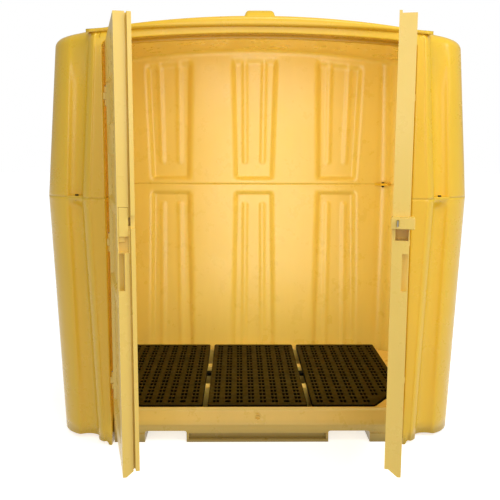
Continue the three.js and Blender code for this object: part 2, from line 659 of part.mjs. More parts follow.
// The block on the left door's edge that the latch tongue goes behind.
function keeper() {
  const left = LEFT_FREE - KEEPER_W;
  const body = block([left, 4.3, KEEPER_BOTTOM], [LEFT_FREE, LIP_CHANNEL - 0.5, KEEPER_TOP]);
  const toe = block([left, 4.3, KEEPER_BOTTOM - KEEPER_TOE], [LEFT_FREE - 12, 30, KEEPER_BOTTOM + 1]);
  return join(body, toe);
}

// The sliding bar, thick enough to be worked from both sides of the door.
function latchBar() {
  const end = RIGHT_FREE + LATCH_OUT;
  const [low, high] = [LATCH_Z - LATCH_H / 2, LATCH_Z + LATCH_H / 2];
  const bar = runAcross([
    [-LATCH_OUT, low], [DOOR_T + 6, low], [DOOR_T + 6, high - 4], [DOOR_T + 2, high],
    [-LATCH_OUT + 4, high], [-LATCH_OUT, high - 4],
  ], RIGHT_FREE - 42, end);
  const slotFrom = [end - TONGUE_IN, TONGUE_FRONT, LATCH_Z - TONGUE_H / 2];
  return cut(bar, block(slotFrom, [end + 1, TONGUE_BACK, LATCH_Z + TONGUE_H / 2]));
}

// The steel tongue let into the end of the bar.
function latchTongue() {
  const end = RIGHT_FREE + LATCH_OUT;
  const half = TONGUE_H / 2 - FIT;
  const from = [end - TONGUE_IN + FIT, TONGUE_FRONT + FIT, LATCH_Z - half];
  return block(from, [end + TONGUE_REACH, TONGUE_BACK - FIT, LATCH_Z + half]);
}

// ---- Hinges -------------------------------------------------------------------------------

// The lug on the jamb's lining that the door's knuckles turn about, drawn for the left jamb.
function jambLug(z) {
  const reach = JAMB_X - HINGE_X; // from the hinge line to the lining
  const [from, to] = [z - 15, z + 15];
  const body = join(
    post(0, 0, HINGE_R, from, to),
    block([-reach + FIT, -4, from], [-2, 4, to]),
    block([-reach + FIT, -4, from], [-reach + 5, 48, to]),
  );
  return cut(body, post(0, 0, PIN_R + 0.1, from - 1, to + 1, 16));
}

const hingePin = (z) => join(
  post(0, 0, PIN_R, z - 44, z + 43.5, 16),
  post(0, 0, PIN_R + 2, z + 42.5, z + 46, 16),
);

// ---- Bolts --------------------------------------------------------------------------------

const bolt = ([x, y]) => join(
  post(x, y, 9, SEAM_Z + WEB_T + 0.5, SEAM_Z + WEB_T + 7, 6),
  post(x, y, BOLT_R, SEAM_Z - WEB_T - 12, SEAM_Z + WEB_T + 1, 16),
);

const nut = ([x, y]) => cut(
  post(x, y, 9, SEAM_Z - WEB_T - 8.5, SEAM_Z - WEB_T - 0.5, 6),
  post(x, y, BOLT_R + 0.1, SEAM_Z - WEB_T - 10, SEAM_Z, 16),
);

// ---- Assembly -----------------------------------------------------------------------------

const hut = new THREE.Group();

function add(group, name, solid, material) {
  const mesh = new THREE.Mesh(toGeometry(solid), material);
  mesh.name = name;
  group.add(mesh);
}

// A solid mirrored left to right, with its faces still pointing out.
const mirrored = (solid) => solid.mirror([1, 0, 0]);

for (const [name, solid] of Object.entries(sumpBase())) add(hut, name, solid, YELLOW);
add(hut, 'drain_plug', drainPlug(), YELLOW);
add(hut, 'grate_left', grate(-1), GRATE_BROWN);
add(hut, 'grate_middle', grate(0), GRATE_BROWN);
add(hut, 'grate_right', grate(1), GRATE_BROWN);
add(hut, 'lower_shell', lowerShell(), YELLOW);
add(hut, 'upper_shell', upperShell(), YELLOW);

for (const [spot, place] of Object.entries(boltSpots)) {
  add(hut, `seam_bolt_${spot}`, bolt(place), BLACK_STEEL);
  add(hut, `seam_nut_${spot}`, nut(place), BLACK_STEEL);
}

// A frame on a hinge line: `swing` turns it, and the right side is the left one's mirror.
function hingeFrame(side, swing) {
  const frame = new THREE.Group();
  frame.position.set(side * HINGE_X, HINGE_Y, 0);
  frame.rotation.z = side * swing;
  hut.add(frame);
  return frame;
}

for (const [name, side] of [['left', -1], ['right', 1]]) {
  const shut = hingeFrame(side, 0);
  const hand = (solid) => (side < 0 ? solid : mirrored(solid));
  HINGE_HEIGHTS.forEach((z, at) => {
    const level = ['bottom', 'middle', 'top'][at];
    add(shut, `${name}_jamb_lug_${level}`, hand(jambLug(z)), YELLOW_LIGHT);
    add(shut, `${name}_hinge_pin_${level}`, hand(hingePin(z)), STEEL);
  });
}

const leftLeaf = hingeFrame(-1, OPEN_ANGLE);
add(leftLeaf, 'left_door', leftDoor(), YELLOW_LIGHT);
add(leftLeaf, 'keeper', keeper(), YELLOW_LIGHT);

const rightLeaf = hingeFrame(1, OPEN_ANGLE);
add(rightLeaf, 'right_door', mirrored(rightDoor()), YELLOW_LIGHT);
add(rightLeaf, 'latch_bar', mirrored(latchBar()), YELLOW_LIGHT);
add(rightLeaf, 'latch_tongue', mirrored(latchTongue()), STEEL);

export default hut;
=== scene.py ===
"""Looks of a covered walk-in spill pallet: moulded hard-top hut, swing doors, grates and sump base.

Metres, +Z up, +X to the right seen from the doorway, +Y towards the back wall.
"""

import json
import math

import bmesh
import bpy
from mathutils import Matrix, Vector
from mathutils.geometry import delaunay_2d_cdt


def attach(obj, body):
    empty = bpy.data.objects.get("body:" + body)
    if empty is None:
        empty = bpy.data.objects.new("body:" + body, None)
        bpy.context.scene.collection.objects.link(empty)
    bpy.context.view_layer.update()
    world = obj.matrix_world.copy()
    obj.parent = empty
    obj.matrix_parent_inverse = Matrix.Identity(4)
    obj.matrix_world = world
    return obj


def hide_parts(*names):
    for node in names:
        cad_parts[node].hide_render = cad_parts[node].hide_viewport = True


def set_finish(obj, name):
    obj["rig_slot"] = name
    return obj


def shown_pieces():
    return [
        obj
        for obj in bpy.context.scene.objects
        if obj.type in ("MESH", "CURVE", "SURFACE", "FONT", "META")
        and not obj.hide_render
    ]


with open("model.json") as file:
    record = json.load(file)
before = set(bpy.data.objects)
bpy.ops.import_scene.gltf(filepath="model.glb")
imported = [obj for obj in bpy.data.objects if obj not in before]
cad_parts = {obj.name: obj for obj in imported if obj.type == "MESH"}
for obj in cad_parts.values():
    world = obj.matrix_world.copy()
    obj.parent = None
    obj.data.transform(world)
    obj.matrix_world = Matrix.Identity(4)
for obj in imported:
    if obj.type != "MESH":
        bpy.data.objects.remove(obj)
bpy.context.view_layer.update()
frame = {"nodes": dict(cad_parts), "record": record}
nodes = frame["nodes"]

# ---- Driving dimensions --------------------------------------------------------------------

WALL = 0.008
SEAM = 1.205
SEAM_GAP = 0.0001
HALF_X = 1.028
HALF_Y = 0.620
LOWER_DRAFT = 0.050
UPPER_DRAFT = 0.058
JAMB = 0.711
RIB_X = 0.784  # where the rib beside the jamb starts
RIB_STEP = (RIB_X + 0.0015, -0.6245)
FLANK_DRAFT = 0.028
GROOVE_IN = (0.827, -0.585)  # the corner groove's end by the jamb
GROOVE_OUT = (0.914, -0.530)  # and its end by the side wall
GROOVE_BOW = -0.038
GROOVE_ROOF_FADE = (0.72, 0.99)  # shares of the upper half's height
GROOVE_ROOF_CLOSED = 0.85
GROOVE_SEAM_FADE = 0.055
SIDE_FLAT = 0.410  # half the length of a side wall's flat part
BACK_TURN = (0.868, 0.572)
BACK_END = (0.778, HALF_Y)
LINING_BACK = -0.470
SPACING = 0.008  # of points along the walls
LOWER_FINE_FROM = 1.03  # the walls have closer rows of points from here
UPPER_FINE_TO = 1.37  # up to here
LOWER_TOP = SEAM - SEAM_GAP / 2
UPPER_BOTTOM = SEAM + SEAM_GAP / 2

FRONT_PART = -0.3
BACK_PART = 0.5
WALL_FOOT = 0.020
POST_EDGE = (0.746, 0.754)
BACK_FOOT = 0.063
BACK_FOOT_EDGE = (0.80, 0.77)

ROOF_TOP = 2.021
ROOF_SAG = 0.063
ROOF_SAG_AT = 0.785
ROOF_CROWN = 0.035
SHOULDER = 0.040
DOORWAY_TOP = 1.951
DOORWAY_SAG = 0.037
DOORWAY_CORNER = 0.020
STOP_Y = -0.543
STOP_OUT = 0.016
STOP_T = 0.014
STOP_SINK = 0.004  # how far the bead goes into the jamb
STOP_ROUND = 0.005
STOP_FOOT = 0.174

LIP_HALF = 0.782
LIP_HEIGHT = 0.038
LIP_OUT = 0.018
LIP_LIFT = 0.005
LIP_LEAST_HEIGHT = 0.003
LIP_LEAST_OUT = 0.001
RIDGE_HALF = 0.56
RIDGE_H = 0.034
RIDGE_END = 0.03

# Each wall's pilasters stand out from it and stop short of the seam.
PILASTER_DEPTH = 0.025
PILASTER_HALF = 0.128
PILASTER_SPREAD = 0.020
PILASTER_RAMP = 0.025
PILASTER_TOP_RAMP = 0.05
PILASTER_UPPER_END = 1.225
PILASTER_LOWER_END = 1.163
FLUTE_OFFSETS = (-0.053, 0.053)
FLUTE_HALF = 0.016
FLUTE_FLAT = 0.3  # the share of a flute's half width that has its full depth
FLUTE_SPREAD = 0.15  # how much further apart the flutes are at the far end of a wall
FLUTE_DEPTH = 0.009
FLUTE_UPPER_END = 1.33
FLUTE_LOWER_END = 1.09
BACK_PILASTERS = (-0.5235, 0.0, 0.5235)
SIDE_PILASTERS = (-0.205, 0.205)

DECK_TOP = 0.175
GRATE_T = 0.025
GRATE_W = 0.497
GRATE_L = 1.082
GRATE_PITCH = 0.5235
CUT_X = 0.190
CUT_Y = 0.272
DECK_CORNER = 0.014
DECK_ROOM = 0.004  # around the grates
DECK_LEDGE = 0.024  # that the grates lie on
GRATE_FIT = 0.0003
GRATE_LIP = 0.0015

BASE_TOP = 0.166
BASE_BACK = 0.552
BASE_TOE = -0.590
BASE_FRONT = -0.553
BASE_NOSE = 0.704
BASE_SHOULDER = -0.464
BASE_HALF = 0.950
BASE_ROUND = 0.006
BASE_EDGE = 0.0018
FACE_FOOT = 0.045  # where the front's lower face starts
FACE_BACK = 0.005  # how far it is set back
FACE_LEDGE = 0.004  # what is left above it
RECESS_FOOT = 0.014
RECESS_DEPTH = 0.026
RECESS_MARGIN = 0.012
SLOPE_TOP = 0.150
SLOPE_BOTTOM = 0.092
SUMP_FLOOR = 0.068
WELL_FLOOR = 0.016
CHANNEL_IN = 0.350
CHANNEL_OUT = 0.555
CHANNEL_TOP = 0.057
CHANNEL_ROUND = 0.012
WELL_MARGIN = 0.020
WELL_REACH = 0.480
SIDE_WELL_FRONT = -0.240
SIDE_WELL_OUT = 0.735
PEDESTAL_HALF = 0.032
PEDESTAL_Y = 0.180
PLUG_Z = 0.126
PLUG_R = 0.0143
PLUG_DEPTH = 0.050
TREAD_STRIPS = 8
TREAD_PITCH = 0.0593
SLOT_SPACING = 0.018
SLOT_HALF_W = 0.0068
SLOT_HALF_L = 0.0170
SLOT_ROWS = 20
SLOT_MARGIN = 0.026  # at both ends of a grate
SLOT_CUT_MARGIN = 0.018  # along the cut corner
HAND_HOLE_HALF_W = 0.0155
SPACER_HALF_W = 0.022
SPACER_HALF_H = 0.0095

JOIN = 2e-5  # points closer than this are one point
OVER = 0.01  # how far a cutting solid runs past what it cuts


# ---- Small helpers -------------------------------------------------------------------------


def mix(a, b, t):
    return a + (b - a) * t


def smooth(low, high, value):
    t = min(1.0, max(0.0, (value - low) / (high - low)))
    return t * t * (3 - 2 * t)


def span(start, stop, count):
    """count + 1 evenly spaced numbers."""
    return [mix(start, stop, i / count) for i in range(count + 1)]


def linked(name, mesh):
    """A mesh as an object in the scene."""
    made = bpy.data.objects.new(name, mesh)
    bpy.context.scene.collection.objects.link(made)
    return made


def mesh_of(name, bm):
    """A bmesh as a mesh. The bmesh goes."""
    mesh = bpy.data.meshes.new(name)
    bm.to_mesh(mesh)
    bm.free()
    return mesh


def shown(name, mesh, body, slot, replaced=()):
    """A mesh as a shown piece that rides on a body."""
    mesh.shade_smooth()
    piece = linked(name, mesh)
    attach(piece, body)
    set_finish(piece, slot)
    if replaced:
        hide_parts(*replaced)
    return piece


def new_piece(name, bm, body, slot, replaced=()):
    """A bmesh as a shown piece, with its points joined and its faces turned outwards."""
    bmesh.ops.remove_doubles(bm, verts=bm.verts, dist=JOIN)
    bmesh.ops.recalc_face_normals(bm, faces=bm.faces)
    return shown(name, mesh_of(name, bm), body, slot, replaced)


def add_grid(bm, rows, closed=False):
    """Quads between matching rows of points."""
    made = [[bm.verts.new(point) for point in row] for row in rows]
    for low, high in zip(made, made[1:]):
        count = len(low)
        for i in range(count if closed else count - 1):
            j = (i + 1) % count
            bm.faces.new((low[i], low[j], high[j], high[i]))
    return made


def add_bar(bm, rings):
    """A closed bar through rings of points, capped at both ends."""
    made = add_grid(bm, rings, closed=True)
    bm.faces.new(list(reversed(made[0])))
    bm.faces.new(made[-1])


def rounded_box_ring(half_a, half_b, radius, steps=4):
    """(a, b) points of a rectangle with rounded corners, anticlockwise."""
    ring = []
    for corner, (sa, sb) in enumerate(((1, 1), (-1, 1), (-1, -1), (1, -1))):
        for angle in span(corner * math.pi / 2, (corner + 1) * math.pi / 2, steps):
            ring.append((
                sa * (half_a - radius) + radius * math.cos(angle),
                sb * (half_b - radius) + radius * math.sin(angle),
            ))
    return ring


# ---- Plan outline of the hard top ----------------------------------------------------------


def bow(a, b, sagitta, steps):
    """Points from a to b on an arc that bulges to the right by sagitta."""
    run = Vector(b) - Vector(a)
    chord = run.length
    along = run / chord
    out = Vector((along.y, -along.x)) * math.copysign(1, sagitta)
    depth = max(abs(sagitta), 1e-4)
    radius = (chord * chord / 4 + depth * depth) / (2 * depth)
    half = math.asin(min(1.0, chord / 2 / radius))
    points = []
    for angle in span(-half, half, steps):
        reach = chord / 2 + radius * math.sin(angle)
        rise = radius * (math.cos(angle) - math.cos(half))
        points.append(Vector(a) + along * reach + out * rise)
    return points


def straight(a, b):
    count = max(1, round((Vector(b) - Vector(a)).length / SPACING))
    return [Vector(a).lerp(Vector(b), i / count) for i in range(count + 1)]


def pilaster_depth(along, z, centres, top):
    """How far a wall stands out at one point, from its pilasters and their flutes."""
    upper = z > SEAM
    share = (z - SEAM) / (ROOF_TOP - SEAM) if upper else (SEAM - z) / SEAM
    half = PILASTER_HALF + PILASTER_SPREAD * share
    if upper:
        present = smooth(PILASTER_UPPER_END, PILASTER_UPPER_END + PILASTER_RAMP, z)
        present *= 1 - smooth(top - PILASTER_TOP_RAMP, top, z)
    else:
        present = 1 - smooth(PILASTER_LOWER_END - PILASTER_RAMP, PILASTER_LOWER_END, z)
    out = 0.0
    for centre in centres:
        across = abs(along - centre)
        if across > half:
            continue
        out += PILASTER_DEPTH * (1 - smooth(half - PILASTER_RAMP, half, across)) * present
        for offset in FLUTE_OFFSETS:
            aside = along - centre - offset * (1 + FLUTE_SPREAD * share)
            end = FLUTE_UPPER_END + FLUTE_HALF - z if upper else z - FLUTE_LOWER_END + FLUTE_HALF
            away = math.hypot(aside, max(0.0, end))
            cut = 1 - smooth(FLUTE_FLAT * FLUTE_HALF, FLUTE_HALF, away)
            out -= FLUTE_DEPTH * cut * present
    return out


def seam_outline():
    """The right half of the outline at the seam, from the lining's end to the middle of the back.

    Each entry is a point, the wall it is on, and its place along that wall.
    """
    entries = []

    def add(points, wall=None):
        for point in points[1:] if entries else points:
            entries.append((point, wall))

    add(straight((JAMB, LINING_BACK), (JAMB, -HALF_Y)))
    add(straight((JAMB, -HALF_Y), (RIB_X, -HALF_Y)))
    add(straight((RIB_X, -HALF_Y), RIB_STEP))
    add(bow(RIB_STEP, GROOVE_IN, 0.006, 9))
    add(bow(GROOVE_IN, GROOVE_OUT, GROOVE_BOW, 18), "groove")
    add(bow(GROOVE_OUT, (HALF_X, -SIDE_FLAT), 0.018, 16))
    add(straight((HALF_X, -SIDE_FLAT), (HALF_X, SIDE_FLAT)), "side")
    add(bow((HALF_X, SIDE_FLAT), BACK_TURN, 0.020, 18))
    add(bow(BACK_TURN, BACK_END, 0.022, 12))
    add(straight(BACK_END, (0.0, HALF_Y)), "back")
    return entries


def flank(x):
    """How much a point beside the jamb moves inwards away from the seam: most at the rib."""
    if x < RIB_X:
        return max(0.0, (x - JAMB) / (RIB_X - JAMB))
    return min(1.0, max(0.0, (GROOVE_OUT[0] - x) / (GROOVE_OUT[0] - GROOVE_IN[0])))


OUTLINE = seam_outline()


def smoothed(points):
    """The points with their creases eased; the two ends stay."""
    inner = [
        (before + here * 2 + after) / 4
        for before, here, after in zip(points, points[1:], points[2:])
    ]
    return [points[0], *inner, points[-1]]


def outline_at(z_of):
    """Points of the right half's outline, each at its own height."""
    points = []
    for point, wall in OUTLINE:
        z, top = z_of(point)
        rise = z - SEAM
        share = rise / (top - SEAM) if rise > 0 else -rise / SEAM
        draft = share * (UPPER_DRAFT if rise > 0 else LOWER_DRAFT)
        x, y = point
        if wall == "groove":
            # The groove fades out under the roof, and the lower half's under the seam.
            start, end = Vector(GROOVE_IN), Vector(GROOVE_OUT)
            along = (point - start).dot((end - start).normalized()) / (end - start).length
            flat = start.lerp(end, along)
            under_roof = smooth(*GROOVE_ROOF_FADE, share) * GROOVE_ROOF_CLOSED
            under_seam = 1 - smooth(0.0, GROOVE_SEAM_FADE, -rise)
            fade = under_roof if rise > 0 else under_seam
            x, y = Vector((x, y)).lerp(flat, fade)
        if wall == "side":
            x += pilaster_depth(y, z, SIDE_PILASTERS, top)
        if wall == "back":
            y += pilaster_depth(x, z, BACK_PILASTERS, top)
        inwards = FLANK_DRAFT * share * flank(x) if y < 0 else 0.0
        x -= inwards + draft * max(0.0, x - JAMB) / (HALF_X - JAMB)
        y -= draft * max(0.0, y + HALF_Y) / (2 * HALF_Y)
        points.append(Vector((x, y, z)))
    return smoothed(points)


def both_sides(right):
    """The whole outline from its right half, whose last point is on the middle line."""
    left = [Vector((-p.x, p.y, p.z)) for p in reversed(right[:-1])]
    return [*right, *left]


def roof_z(x, y):
    return ROOF_TOP - ROOF_SAG * (x / ROOF_SAG_AT) ** 2 + ROOF_CROWN * (1 - (y / HALF_Y) ** 2)


# ---- Doorway -------------------------------------------------------------------------------


def arch_z(x):
    return DOORWAY_TOP - DOORWAY_SAG * (x / JAMB) ** 2


CORNER_START = arch_z(JAMB) - DOORWAY_CORNER


def arch_path():
    """Points and outward normals of the doorway's arch, from its right springing to its left."""
    points = []
    corner = JAMB - DOORWAY_CORNER
    for angle in span(0, math.pi / 2, 6)[:-1]:
        x = corner + DOORWAY_CORNER * math.cos(angle)
        points.append(Vector((x, CORNER_START + DOORWAY_CORNER * math.sin(angle))))
    points += [Vector((x, arch_z(x))) for x in span(corner, 0, 30)]
    points += [Vector((-p.x, p.y)) for p in reversed(points[:-1])]
    normals = []
    for i in range(len(points)):
        before, after = points[max(0, i - 1)], points[min(len(points) - 1, i + 1)]
        run = (after - before).normalized()
        normals.append(Vector((run.y, -run.x)))
    normals[0], normals[-1] = Vector((1, 0)), Vector((-1, 0))
    return points, normals


# ---- Hard top ------------------------------------------------------------------------------


def foot_z(point):
    """The lower edge of the hard top: only the jamb posts reach the floor."""
    x, y = point
    if y < FRONT_PART:
        return mix(0.0, WALL_FOOT, smooth(*POST_EDGE, x))
    return mix(WALL_FOOT, BACK_FOOT, smooth(*BACK_FOOT_EDGE, x) if y > BACK_PART else 0.0)


def lower_shell():
    """The hut's lower half, as a skin from its foot to the seam."""
    bm = bmesh.new()
    coarse = span(0.0, LOWER_FINE_FROM, 16)
    fine = span(LOWER_FINE_FROM, LOWER_TOP, 17)[1:]
    rows = []
    for share in [z / LOWER_TOP for z in coarse + fine]:
        rows.append(both_sides(outline_at(
            lambda point: (mix(foot_z(point), LOWER_TOP, share), ROOF_TOP)
        )))
    add_grid(bm, rows)
    return new_piece("hut_lower_half", bm, "root", "shell_plastic", ["lower_shell"])


FACE_START = 22  # outline points from here on are on the front face, clear of the lining
SHOULDER_STEPS = 8


def wall_top(point):
    """Where the wall turns into the roof's shoulder."""
    x = point[0] - UPPER_DRAFT * max(0.0, point[0] - JAMB) / (HALF_X - JAMB)
    y = point[1] - UPPER_DRAFT * max(0.0, point[1] + HALF_Y) / (2 * HALF_Y)
    return roof_z(x, y) - SHOULDER


def upper_shell():
    """The hut's upper half, as one skin: walls, header, doorway lining and roof."""
    bm = bmesh.new()

    def to_corner(share):
        return lambda point: (mix(UPPER_BOTTOM, CORNER_START, share), wall_top(point))

    def to_roof(share):
        return lambda point: (mix(CORNER_START, wall_top(point), share), wall_top(point))

    fine = span(UPPER_BOTTOM, UPPER_FINE_TO, 16)
    coarse = span(UPPER_FINE_TO, CORNER_START, 12)[1:]
    height = CORNER_START - UPPER_BOTTOM
    shares = [(z - UPPER_BOTTOM) / height for z in fine + coarse]
    add_grid(bm, [both_sides(outline_at(to_corner(share))) for share in shares])

    # Above the doorway's springing, the wall without its lining, and then the header.
    roof_shares = span(0, 1, 6)
    upper_rows = [both_sides(outline_at(to_roof(share))) for share in roof_shares]
    faces = [row[FACE_START:len(row) - FACE_START] for row in upper_rows]
    add_grid(bm, faces)

    profile = outline_at(to_roof(0))[:FACE_START + 1]
    path, normals = arch_path()
    count = len(path) - 1
    header_rows = []
    for p in profile:
        away = p.x - JAMB
        header_rows.append([
            Vector((a.x + n.x * away, p.y, a.y + n.y * away)) for a, n in zip(path, normals)
        ])
    last = header_rows[-1]
    reach = faces[-1][0].x
    tops = [Vector((mix(reach, -reach, i / count), faces[-1][0].y, 0)) for i in range(count + 1)]
    for top, start in zip(tops[1:-1], last[1:-1]):
        top.x = max(-reach, min(reach, start.x * reach / JAMB))
    for top in tops:
        top.z = roof_z(top.x, top.y) - SHOULDER
    for at, share in enumerate(roof_shares[1:], start=1):
        row = [start.lerp(top, share) for start, top in zip(last, tops)]
        row[0], row[-1] = faces[at][0], faces[at][-1]
        header_rows.append(row)
    add_grid(bm, header_rows)

    # The shoulder and the roof, in rings that shrink towards the middle.
    ring = [*reversed(header_rows[-1][1:-1]), *faces[-1]]
    rings = []
    for angle in span(0, math.pi / 2, SHOULDER_STEPS):
        inward = SHOULDER * (1 - math.cos(angle))
        turned = math.sin(angle)
        rings.append([
            (
                p.x * (1 - inward / HALF_X),
                p.y * (1 - inward / HALF_Y),
                (roof_z(p.x, p.y) - p.z) * (1 - turned),
            )
            for p in ring
        ])
    rings += [
        [(x * share, y * share, 0.0) for x, y, _ in rings[SHOULDER_STEPS]]
        for share in span(1, 0.02, 14)[1:]
    ]
    placed = [[Vector((x, y, roof_z(x, y) - drop)) for x, y, drop in row] for row in rings]
    made = add_grid(bm, placed, closed=True)
    bm.faces.new(made[-1])
    return new_piece("hut_upper_half", bm, "root", "shell_plastic", ["upper_shell"])


def fascia():
    """The lip along the roof's front edge: deepest in the middle, and gone at the corners."""
    bm = bmesh.new()
    rings = []
    for x in span(-LIP_HALF, LIP_HALF, 56):
        share = (x / LIP_HALF) ** 2
        height = LIP_HEIGHT * (1 - share) + LIP_LEAST_HEIGHT
        out = LIP_OUT * (1 - share ** 3) + LIP_LEAST_OUT
        lift = LIP_LIFT * (1 - share)
        profile = [
            (-0.600, -height - 0.006), (-HALF_Y - 0.001, -height - 0.006),
            (-HALF_Y - out * 0.55, -height - 0.002), (-HALF_Y - out * 0.9, -height + 0.003),
            (-HALF_Y - out, -height + 0.009), (-HALF_Y - out + 0.001, -height * 0.35),
            (-HALF_Y - out + 0.004, -0.003), (-HALF_Y - out + 0.010, -0.0004), (-0.596, 0.0006),
            (-0.570, 0.0004), (-0.556, -0.002), (-0.552, -0.006), (-0.580, -0.008),
        ]
        rings.append([(x, y, roof_z(x, y) + z + lift) for y, z in profile])
    add_bar(bm, rings)
    new_piece("roof_front_lip", bm, "root", "shell_plastic")


def ridge():
    """The raised rib along the roof's middle, from front to back."""
    bm = bmesh.new()
    left = [
        (-0.082, -0.006), (-0.075, 0.001), (-0.069, 0.014), (-0.064, 0.026), (-0.057, 0.0325),
        (-0.048, RIDGE_H), (-0.024, RIDGE_H),
    ]
    profile = [*left, (0.0, RIDGE_H), *((-x, z) for x, z in reversed(left))]
    rings = []
    for y in span(-RIDGE_HALF, RIDGE_HALF, 40):
        rise = 1 - 0.9 * smooth(RIDGE_HALF - RIDGE_END, RIDGE_HALF, abs(y))
        rings.append([(x, y, roof_z(x, y) + z * rise) for x, z in profile])
    add_bar(bm, rings)
    new_piece("roof_ridge", bm, "root", "shell_plastic")


def stop_bead(name, path):
    """The bead that the shut doors rest against, along (x, z) points with inward normals."""
    bm = bmesh.new()
    ring = rounded_box_ring((STOP_OUT + STOP_SINK) / 2, STOP_T / 2, STOP_ROUND)
    rings = []
    for point, normal in path:
        middle = point + normal * (STOP_OUT - STOP_SINK) / 2
        rings.append([
            (middle.x + normal.x * a, STOP_Y + b, middle.y + normal.y * a) for a, b in ring
        ])
    add_bar(bm, rings)
    new_piece(name, bm, "root", "shell_plastic")


def stop_beads():
    """The beads round the doorway: one above the seam, and one down each side below it."""
    points, normals = arch_path()
    start, end = SEAM + SEAM_GAP, CORNER_START - 0.01
    path = [(Vector((JAMB, z)), Vector((-1, 0))) for z in span(start, end, 6)]
    path += [(p, -n) for p, n in zip(points, normals)]
    path += [(Vector((-JAMB, z)), Vector((1, 0))) for z in span(end, start, 6)]
    stop_bead("doorway_stop_upper", path)
    for side, name in ((1, "right"), (-1, "left")):
        heights = span(STOP_FOOT, SEAM - SEAM_GAP, 8)
        stop_bead(
            f"doorway_stop_lower_{name}",
            [(Vector((side * JAMB, z)), Vector((-side, 0))) for z in heights],
        )


# ---- Corner webs ---------------------------------------------------------------------------

WEB_T = 0.007
WEB_RIM = 0.003  # how far a front web goes into the wall
WEB_EDGE = 0.002


def web_outline(place):
    """Plan of the small shelf that closes a corner's half-round at the seam."""
    if place == "front":
        points = bow(GROOVE_IN, GROOVE_OUT, GROOVE_BOW, 14)
        middle = (points[0] + points[-1]) / 2
        return [p + (p - middle).normalized() * WEB_RIM for p in points]
    points = bow(BACK_TURN, BACK_END, 0.018, 10)
    return [*points, Vector((0.765, 0.598)), Vector((0.838, 0.545))]


def corner_webs():
    """The shelves that the seam's bolts go through, on both halves and at all four corners."""
    for half, low, high in (
        ("lower", LOWER_TOP - WEB_T, LOWER_TOP),
        ("upper", UPPER_BOTTOM, UPPER_BOTTOM + WEB_T),
    ):
        bm = bmesh.new()
        for place in ("front", "back"):
            for side in (1, -1):
                outline = [(side * p.x, p.y) for p in web_outline(place)]
                add_bar(bm, [[(x, y, z) for x, y in outline] for z in (low, high)])
        piece = new_piece(f"corner_webs_{half}", bm, "root", "shell_plastic")
        soften(piece, WEB_EDGE)


# ---- Grates --------------------------------------------------------------------------------


def slot_ring(x, y, half_w, half_l, grow=0.0):
    """A slot with round ends, anticlockwise in plan."""
    points = []
    radius = half_w + grow
    for end in (1, -1):
        for angle in span(0, math.pi, 5):
            points.append((
                x + end * radius * math.cos(angle),
                y + end * (half_l - half_w + radius * math.sin(angle)),
            ))
    return points


def rounded(corners, reach, steps=5):
    """A closed outline with each corner turned through a curve; reach is how far it starts away."""
    points = []
    for at, corner in enumerate(corners):
        here = Vector(corner)
        before = (Vector(corners[at - 1]) - here).normalized()
        after = (Vector(corners[(at + 1) % len(corners)]) - here).normalized()
        start, end = here + before * reach, here + after * reach
        for t in span(0, 1, steps):
            points.append(start.lerp(here, t).lerp(here.lerp(end, t), t))
    return points


def grate_outline(place, inward=0.0):
    """Plan of a grate with rounded corners. The outer ones have a cut front corner."""
    x, y = GRATE_W / 2 - inward, GRATE_L / 2 - inward
    if place:
        corners = [(-x, -y), (x - CUT_X, -y), (x, -y + CUT_Y), (x, y), (-x, y)]
    else:
        corners = [(-x, -y), (x, -y), (x, y), (-x, y)]
    flip = place or 1
    placed = [(place * GRATE_PITCH + flip * p.x, p.y) for p in rounded(corners, DECK_CORNER)]
    return placed if flip > 0 else placed[::-1]


def grate_slots(place):
    """Centre and half sizes of each slot in a grate."""
    slots = []
    pitch = (GRATE_L - 2 * SLOT_MARGIN) / SLOT_ROWS
    flip = place or 1
    for strip in range(TREAD_STRIPS):
        across = (strip - (TREAD_STRIPS - 1) / 2) * TREAD_PITCH
        for row in range(SLOT_ROWS):
            y = (row - (SLOT_ROWS - 1) / 2) * pitch
            over = across + 0.020 - (GRATE_W / 2 - CUT_X)
            edge = -GRATE_L / 2 + max(0.0, over) * CUT_Y / CUT_X
            if place and y - SLOT_HALF_L < edge + SLOT_CUT_MARGIN:
                continue
            x = place * GRATE_PITCH + flip * across
            if strip in (1, TREAD_STRIPS - 2) and row in (0, SLOT_ROWS - 1):
                slots.append((x, y, HAND_HOLE_HALF_W, SLOT_HALF_L))
                continue
            for side in (-0.5, 0.5):
                slots.append((x + side * SLOT_SPACING, y, SLOT_HALF_W, SLOT_HALF_L))
    return slots


def flat_with_holes(bm, outline, holes, z):
    """A flat face with holes, as polygons."""
    verts, loops = [], []
    for ring in (outline, *holes):
        loops.append(list(range(len(verts), len(verts) + len(ring))))
        verts += [Vector(p) for p in ring]
    made, _, faces, *_ = delaunay_2d_cdt(verts, [], loops, 5, 1e-7)
    points = [bm.verts.new((p.x, p.y, z)) for p in made]
    for face in faces:
        bm.faces.new([points[i] for i in face])


